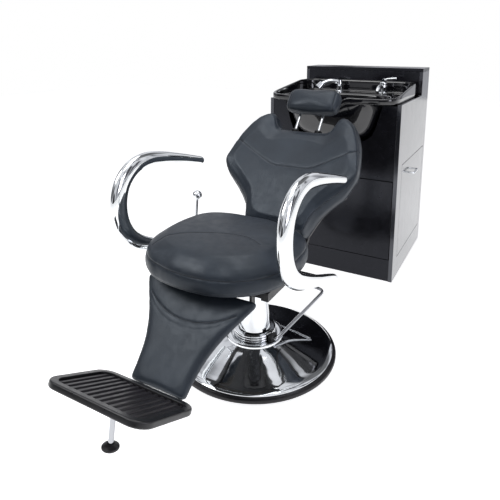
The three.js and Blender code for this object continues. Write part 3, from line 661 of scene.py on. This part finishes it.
def back_cushion():
    ob = copy_of("back_cover", "back_cushion")
    modify(ob, "REMESH", mode="VOXEL", voxel_size=5 * MM)
    relax(ob, 2)
    co = coords(ob)
    set_coords(ob, co - normals(ob) * 3 * MM)
    local = (coords(ob) - np.array(BACK_AT)) @ np.array([[1, 0, 0], list(BACK_S), list(BACK_T)]).T
    rear = back_front(local[:, 0] / MM) * MM - BACK_THICK * MM * 0.8
    inflate(ob, 4.0, 13 * MM, held=local[:, 2] < rear)
    relax(ob, 2)
    modify(ob, "SUBSURF", levels=1)
    tree = surface(ob)
    right = [(p[0], p[1]) for p in BACK_OUTLINE]
    loop = right + [(-x, s) for x, s in reversed(right[1:-1])]
    ring = resample(loop, 420, closed=True)
    shrink = ring * np.array([0.985, 1.0])
    edge = onto(tree, [on_back(x, s, back_front(x) - 7) for x, s in shrink])
    seam = mirrored([(0, 269), (60, 268), (84, 271), (104, 280), (159, 307), (219, 338), (262, 360),
                     (286, 372)])
    seam = [on_back(x, s, back_front(x)) for x, s in resample(seam, 260)]
    seam = cast(tree, seam, -BACK_T, 0.08)
    stitched("back_seam_shade_thread", ob, seam, "backrest", 2.0, 3.4, 0.5, 3)
    sew(ob, edge, 1.6 * MM, 3.0 * MM, 0.4 * MM, 5)
    smooth(ob)
    settle(ob, "backrest", "leather", "back_cushion")
    tree = surface(ob)
    welt("back_welt", tree, edge, 2.4 * MM, "backrest", closed=True, lift=0.15)
    deep = [BACK_THICK * (0.55 + 0.45 * ease((290 - abs(x)) / 60)) - 5 for x, _ in shrink]
    rear = [on_back(x, s, back_front(x) - d) for (x, s), d in zip(shrink, deep)]
    welt("back_rear_welt", tree, onto(tree, rear), 2.6 * MM, "backrest", closed=True, lift=0.1)


def ease(t):
    t = min(1.0, max(0.0, t))
    return t * t * (3 - 2 * t)


SEAT = dict(a=259, front=236, rear=250, cy=-207, z0=423, top=521)


def seat_ring(inset, z, n=96):
    pts = []
    for k in range(n):
        c, s = math.cos(2 * math.pi * k / n), math.sin(2 * math.pi * k / n)
        e = 2 / 3.1 if s > 0 else 2 / 2.25
        b = (SEAT["rear"] if s > 0 else SEAT["front"]) - inset
        x = (SEAT["a"] - inset) * math.copysign(abs(c) ** e, c)
        pts.append((x * MM, (SEAT["cy"] + b * math.copysign(abs(s) ** e, s)) * MM, z * MM))
    return pts


def seat_cushion():
    z0 = SEAT["z0"]
    rows = [(40, z0), (26, z0 + 0.5), (13, z0 + 5), (7, z0 + 14), (4, z0 + 28), (4, z0 + 46), (8, z0 + 59),
            (15, z0 + 69),
            (27, z0 + 78), (46, z0 + 85), (76, z0 + 91), (120, z0 + 95), (170, z0 + 97), (210, z0 + 98)]
    ob = loft("seat_cover", [seat_ring(i, z) for i, z in rows])
    modify(ob, "REMESH", mode="VOXEL", voxel_size=5.5 * MM)
    relax(ob, 3)
    inflate(ob, 4.0, 14 * MM, held=coords(ob)[:, 2] < (z0 + 5) * MM)
    relax(ob, 2)
    modify(ob, "SUBSURF", levels=1)
    tree = surface(ob)
    ring = onto(tree, resample(seat_ring(7, z0 + 58), 460, closed=True))
    stitched("seat_seam_shade_thread", ob, ring, "carriage", 1.6, 3.2, 0.6, 1, closed=True)
    arc = spline([(-178, -346, 600), (-120, -290, 600), (-39, -246, 600), (48, -216, 600), (105, -218, 600),
                  (150, -240, 600)], 200) * MM
    stitched("seat_arc_seam_shade_thread", ob, cast(surface(ob), arc, (0, 0, -1), 0.3), "carriage", 0.8, 3.4, 0.4, 2)
    low = onto(surface(ob), resample(seat_ring(6, z0 + 10), 460, closed=True))
    sew(ob, low, 1.2 * MM, 3.0 * MM)
    smooth(ob)
    settle(ob, "carriage", "leather", "seat_cushion")


HEAD = dict(s=604, t=-26, w=125, h=57, d=44)


def head_section(x, shrink, n=40):
    k = math.sqrt(max(0.02, 1 - (abs(x) / HEAD["w"]) ** 5))
    pts = []
    for i in range(n):
        c, q = math.cos(2 * math.pi * i / n), math.sin(2 * math.pi * i / n)
        high = (HEAD["h"] - shrink) * (0.72 + 0.28 * k) * min(1, k * 1.6)
        pts.append(on_back(x * (1 - shrink / HEAD["w"]), HEAD["s"] + high * math.copysign(abs(c) ** 0.5, c),
                           HEAD["t"] + (HEAD["d"] - shrink) * k * math.copysign(abs(q) ** 0.5, q)))
    return pts


def headrest_cushion():
    spans = [math.sin(math.radians(a)) for a in range(-90, 91, 6)]
    ob = loft("headrest_cover", [head_section(x * HEAD["w"], 4) for x in spans])
    modify(ob, "REMESH", mode="VOXEL", voxel_size=4 * MM)
    relax(ob, 3)
    inflate(ob, 4.0, 9 * MM)
    relax(ob, 1)
    modify(ob, "SUBSURF", levels=1)
    tree = surface(ob)
    for side in (-1, 1):
        ring = resample(head_section(side * 103, 0), 150, closed=True)
        stitched("headrest_seam_shade_thread_" + ("left" if side < 0 else "right"), ob, onto(tree, ring), "headrest",
                 1.4, 3.0, 0.3,
                 7 + side, closed=True)
    smooth(ob)
    settle(ob, "headrest", "leather", "headrest_cushion")


LEG_WIDTH = [(-16, 199), (0, 193), (19, 183), (53, 163), (95, 139), (125, 125), (160, 112), (190, 104),
             (235, 97),
             (290, 93)]


def leg_section(s, inset, t0, t1, n=44):
    half = float(np.interp(s, *zip(*LEG_WIDTH))) - inset
    mid, deep = (t0 + t1) / 2, (t1 - t0) / 2
    pts = []
    for i in range(n):
        c, q = math.cos(2 * math.pi * i / n), math.sin(2 * math.pi * i / n)
        pts.append(on_leg(half * math.copysign(abs(c) ** 0.22, c), s,
                          mid + deep * math.copysign(abs(q) ** 0.5, q)))
    return pts


def legrest_cushion():
    rows = [(-14, 12), (-12, 6), (-8, 3)] + [(s, 2) for s in range(0, 271, 10)] + [(275, 3), (279, 6),
                                                                                   (281, 12)]
    rings = [leg_section(s, i, -10.6 + i * 0.3, 19 - i * 0.4) for s, i in rows]
    ob = loft("legrest_cover", rings)
    modify(ob, "REMESH", mode="VOXEL", voxel_size=4.5 * MM)
    relax(ob, 1)
    depth = (coords(ob) - np.array(LEG_AT)) @ np.array(LEG_T)
    inflate(ob, 2.0, 3 * MM, held=depth < -8.5 * MM)
    relax(ob, 1)
    modify(ob, "SUBSURF", levels=1)
    tree = surface(ob)
    for k, drop in enumerate((0, 20)):
        arc = mirrored([(0, 92 + drop), (40, 89 + drop), (80, 78 + drop), (118, 61 + drop * 0.8),
                        (150, 40 + drop * 0.5)])
        arc = [on_leg(x, s, 30) for x, s in resample(arc, 150)]
        arc = cast(tree, arc, -LEG_T, 0.05)
        if k == 0:
            stitched("legrest_seam_shade_thread", ob, arc, "legrest", 1.2, 3.4, 0.5, 11)
        else:
            sew(ob, arc, 0.7 * MM, 5 * MM, 0.5 * MM, 12)
    smooth(ob)
    settle(ob, "legrest", "leather", "legrest_cushion")


# ---------------------------------------------------------------- chair metalwork

WALL = 4  # the column's sleeve, in millimetres

def mm(profile):
    return [(r * MM, z * MM) for r, z in profile]


def chair_base():
    dome = spline([(284, 22), (276, 26), (266, 28.6), (240, 33.2), (200, 41), (160, 50.4), (128, 58.6),
                   (106, 64)], 40)
    profile = [(280, 14.6), (287, 14.8), (287.3, 17), (286.6, 20), *[tuple(p) for p in dome], (105.4, 66),
               (104.6, 69),
               (102, 71), (97, 71.5), (86, 71.2), (83.4, 70), (82, 66.2), (60, 66), (41.2, 66), (41.2, 62.2),
               (104, 60), (150, 48), (215, 33.4), (270, 22.4)]
    settle(lathe("base_dome", mm(profile), 160), "floor_unit", "chrome", "base_cover")
    ring = [(262.4, 0.2), (296, 0.2), (299, 1.2), (300, 3.4), (300, 9), (299, 12), (296, 13.6), (290, 14),
            (262.4, 14)]
    settle(lathe("base_rubber_ring", mm(ring), 160), "floor_unit", "rubber", "base_ring")
    ribs = []
    for k in range(3):
        z = 66.6 + k * 9.2
        ribs += [(74.6, z), (76.8, z + 0.5), (77.8, z + 2), (78, z + 4), (77.8, z + 6), (76.8, z + 7.6),
                 (74.6, z + 8)]
    settle(lathe("hub_rings", mm([(41.2, 66.5), *ribs, (66, 94.4), (41.2, 94.4)]), 96), "floor_unit",
           "chrome",
           "hub_collar")
    for k, z in enumerate((74.4, 83.6)):
        band = [(72, z), (76.2, z), (76.2, z + 1.6), (72, z + 1.6)]
        settle(lathe("hub_seal_%d" % (k + 1), mm(band), 96), "floor_unit", "rubber")


def chair_column():
    outer = spline([(36, 340.4), (37.4, 298), (41, 254), (45.5, 210), (51, 168), (57, 128), (61, 98.2)], 40)
    inner = [(r - WALL, z) for r, z in outer[::-1][:-1]]
    profile = [(0, 342), (33, 342), (35.2, 341.6), *[tuple(p) for p in outer], *inner, (36 - WALL, 338),
               (0, 338)]
    settle(lathe("column_sleeve", mm(profile), 96), "lift", "chrome", "column_shroud")


def foot_lever():
    turn = math.radians(15)
    out = Vector((math.sin(turn), math.cos(turn), 0))
    across = Vector((math.cos(turn), -math.sin(turn), 0))

    def at(a, o, z):
        return (across * a + out * o) * MM + Vector((0, 0, z * MM))

    corners = [at(-83, 0, 82), at(-105, 0, 82), at(-105, 40, 91), at(-84, 318, 140), at(84, 318, 140),
               at(105, 40, 91),
               at(105, 0, 82), at(83, 0, 82)]
    path = rounded(corners, [b * MM for b in (0, 8, 14, 26, 26, 14, 8, 0)])
    settle(tube("foot_lever", path, 6.5 * MM, 24, angle=50), "pump_pedal", "chrome", "pump_lever",
           material="thin_chrome")


ARM_LINE = [(98, 667, 16), (-55, 708, 19), (-172, 733, 23), (-243, 738, 26), (-303, 722, 30), (-348, 682, 33),
            (-367, 625, 34), (-362, 566, 33), (-336, 513, 31), (-291, 472, 27), (-226, 438, 23),
            (-120, 396, 18),
            (-20, 358, 16), (42, 334, 14)]
ARM_X, ARM_SIDE, ARM_TIP = 288, 20, 0.02


def armrests():
    line = spline(ARM_LINE, 150)
    ends = np.linspace(0, 1, 9) ** 2
    share = np.concatenate([ARM_TIP * ends, np.linspace(ARM_TIP, 1 - ARM_TIP, 130)[1:-1],
                            1 - ARM_TIP * ends[::-1]])
    far = np.linspace(0, 1, len(line))
    line = np.stack([np.interp(share, far, line[:, k]) for k in range(3)], axis=1)
    for sign, word in ((-1, "left"), (1, "right")):
        rings = []
        for i, (y, z, half) in enumerate(line):
            a, b = line[max(i - 1, 0)], line[min(i + 1, len(line) - 1)]
            t = Vector((0, b[0] - a[0], b[1] - a[1])).normalized()
            out = t.cross(Vector((1, 0, 0)))
            tip = min(1.0, min(share[i], 1 - share[i]) / ARM_TIP)
            k = max(0.12, math.sqrt(max(0.0, 1 - (1 - tip) ** 2)))
            wide = min(ARM_SIDE, half * 1.1) * k
            centre = Vector((sign * ARM_X, y, z))
            ring = []
            for j in range(40):
                c, s = math.cos(2 * math.pi * j / 40), math.sin(2 * math.pi * j / 40)
                ring.append((centre + out * (half * k * c) + Vector((wide * s, 0, 0))) * MM)
            rings.append(ring)
        settle(loft("armrest_bar_" + word, rings), "carriage", "polished_arm", "armrest_" + word)


def recline_handle():
    corners = [(-172, 60, 388), (-300, 60, 388), (-300, 72, 510)]
    path = rounded([Vector(c) * MM for c in corners], [0, 16 * MM, 0])
    settle(tube("recline_rod", path, 5 * MM, 20, angle=50), "recline_handle", "chrome", "recline_lever",
           material="thin_chrome")
    ball = [(0, -20), (6.6, -20), (6.8, -17)]
    ball += [(19 * math.sin(a), -19 * math.cos(a)) for a in np.linspace(math.radians(24), math.pi - 0.05, 26)]
    ball += [(0, 19)]
    settle(lathe("recline_ball", mm(ball), 48, (-0.300, 0.074, 0.5295)), "recline_handle", "chrome",
           "recline_knob")


def headrest_posts():
    for sign, word in ((-1, "left"), (1, "right")):
        a, b = on_back(sign * 52, 372, -44), on_back(sign * 52, 612, -44)
        path = [a.lerp(b, k / 24) for k in range(25)]
        settle(tube("headrest_bar_" + word, path, 6 * MM, 28, angle=50), "headrest", "chrome",
               "headrest_post_" + word)


# ---------------------------------------------------------------- bowl and taps

BOWL_Y = 905
RIM_Y, RIM_HALF, RIM_WIDE, RIM_H, RIM_Z = 963, 263, 312, 26, 850.4
RIM_FRONT, RIM_LEVEL = 700, 1095
NOTCH, RISE, DECK_UP = 44, 44, 8


def bowl_ring(a, b, yc, z, power, notch, rise=0, n=144):
    pts = []
    for k in range(n):
        t = 2 * math.pi * (k + 0.5) / n
        u = math.copysign(abs(math.cos(t)) ** (2 / 3), math.cos(t))
        v = math.copysign(abs(math.sin(t)) ** (2 / 3), math.sin(t))
        out = (abs(u) ** power + abs(v) ** power) ** (-1 / power)
        x, y = a * u * out, yc + b * v * out
        near = ease((90 - abs(x)) / 55) * ease(-v * 2) if v < 0 else 0.0
        lift = rise * min(1, max(0, (y - RIM_FRONT) / (RIM_LEVEL - RIM_FRONT)))
        pts.append((x * MM, y * MM, (z - notch * near + lift) * MM))
    return pts


def bowl():
    y, z, w, h, top, deck = BOWL_Y, RIM_Z, RIM_WIDE, RIM_HALF, RIM_Z + RIM_H, RIM_Z + DECK_UP
    rings = [
        (23, 23, y, 662, 2, 0), (105, 96, y, 667, 2.4, 0), (158, 148, y, 675, 2.8, 0),
        (190, 182, y, 694, 3.3, 0),
        (208, 195, y, 738, 3.8, 4), (220, 201, y, 790, 4.2, 14), (240, 205, y, z - 6, 4.4, NOTCH - 8),
        (w - 6, h - 6, RIM_Y, z, 7, NOTCH - 4), (w - 1, h - 1, RIM_Y, z + 1.5, 7.6, NOTCH - 3, 2),
        (w, h, RIM_Y, z + 4, 8, NOTCH - 2, 4), (w, h, RIM_Y, top - 4, 8, NOTCH, RISE),
        (w - 1, h - 1, RIM_Y, top - 1, 8, NOTCH, RISE), (w - 5, h - 4, RIM_Y, top, 8, NOTCH, RISE),
        (w - 9, h - 8, RIM_Y, top, 7.8, NOTCH, RISE), (w - 12, h - 11, RIM_Y, top - 1.6, 7.6, NOTCH, RISE),
        (w - 14, h - 12.4, RIM_Y, deck + 5, 7.5, NOTCH - 7, 4), (w - 15, h - 13, RIM_Y, deck + 1.5, 7.4,
                                                                 NOTCH - 8, 1),
        (w - 18, h - 16, RIM_Y, deck, 7.3, NOTCH - 8), (232, 184, y + 3, deck, 3.7, NOTCH - 8),
        (227, 181, y + 2, deck - 2, 3.6, NOTCH - 9), (222, 179, y, z - 4, 3.4, NOTCH - 12),
        (212, 180, y, 792, 3.5, 15),
        (196, 176, y, 742, 3.3, 3), (172, 160, y, 706, 2.8, 0), (98, 88, y, 683, 2.3, 0),
        (23, 23, y, 673, 2, 0)]
    ob = loft("shampoo_bowl", [bowl_ring(*r) for r in rings], loop=True)
    modify(ob, "SUBSURF", levels=1)
    smooth(ob)
    settle(ob, "floor_unit", "bowl_gloss", "bowl")
    sieve = [(0, 668), (16, 668), (17, 669), (17, 673.4), (30, 675.2), (33, 676), (33, 677.4), (28, 678.2),
             (12, 677),
             (7, 676.6), (5, 678), (0, 678.6)]
    settle(lathe("waste_sieve", mm(sieve), 64, (0, BOWL_Y * MM, 0)), "strainer", "strainer_steel",
           "drain_strainer")


def taps():
    deck = RIM_Z + DECK_UP + 0.4
    mx, my = 142, 1150
    foot = [(0, deck), (26, deck), (27, deck + 1), (27, deck + 4), (26, deck + 5.4), (22.6, deck + 8),
            (21.4, deck + 14),
            (21, deck + 30), (21, deck + 45), (20.4, deck + 46), (0, deck + 46)]
    settle(lathe("mixer_column", mm(foot), 64, (mx * MM, my * MM, 0)), "floor_unit", "chrome", "mixer_body")
    spout = spline([(mx, my - 12, deck + 26), (mx, my - 42, deck + 38), (mx, my - 74, deck + 42),
                    (mx, my - 102, deck + 33), (mx, my - 117, deck + 18)], 40) * MM
    settle(tube("mixer_spout", spout, [(11 - 1.6 * k / 39) * MM for k in range(40)], 28, angle=50),
           "floor_unit", "chrome")
    cap = [(0, deck + 47), (20, deck + 47), (21, deck + 48), (21, deck + 53), (20, deck + 57.4),
           (16.6, deck + 60.4),
           (12, deck + 61.8), (0, deck + 62.5)]
    settle(lathe("mixer_dome", mm(cap), 64, (mx * MM, my * MM, 0)), "mixer_head", "chrome", "mixer_cap")
    refined("mixer_lever", 1.2 * MM)
    refined("spray_holder", 0.8 * MM)
    refined("hand_spray", 1.2 * MM)


# ---------------------------------------------------------------- cabinet and the rest

BOARDS = ("side_panel_left", "side_panel_right", "bottom_panel", "plinth_board", "front_lower_panel",
          "front_upper_panel", "back_panel", "splash_front", "splash_top", "side_door")
EDGED = {"footrest_tray": 1.5, "footrest_mat": 0.6, "footrest_bracket": 0.8, "footrest_leg": 0.6,
         "footrest_leg_pad": 1.2, "arm_bracket_left": 1.0, "arm_bracket_right": 1.0, "door_handle": 0.6,
         "lever_block_left": 1.2, "lever_block_right": 1.2, "swivel_plate": 1.0, "legrest_hinge_rod": 0.6,
         "footrest_hinge_rod": 0.6, "seat_frame": 0.8, "legrest_board": 0.8, "back_board": 1.5,
         "headrest_socket_left": 0.6, "headrest_socket_right": 0.6, "back_arm_left": 0.8,
         "back_arm_right": 0.8}


def finish_nodes():
    for name in BOARDS:
        refined(name, 0.9 * MM, material="lacquered_side" if "side" in name else None)
    for name, bevel in EDGED.items():
        refined(name, bevel * MM, material="thin_chrome" if name == "footrest_leg" else None)
    for name, ob in NODES.items():
        ob.data.materials.clear()
        ob.data.materials.append(MATERIAL[SLOT[name]])


make_materials()
add_camera()
add_studio()
add_floor()
chair_base()
chair_column()
foot_lever()
armrests()
recline_handle()
headrest_posts()
bowl()
taps()
finish_nodes()
seat_cushion()
back_cushion()
headrest_cushion()
legrest_cushion()
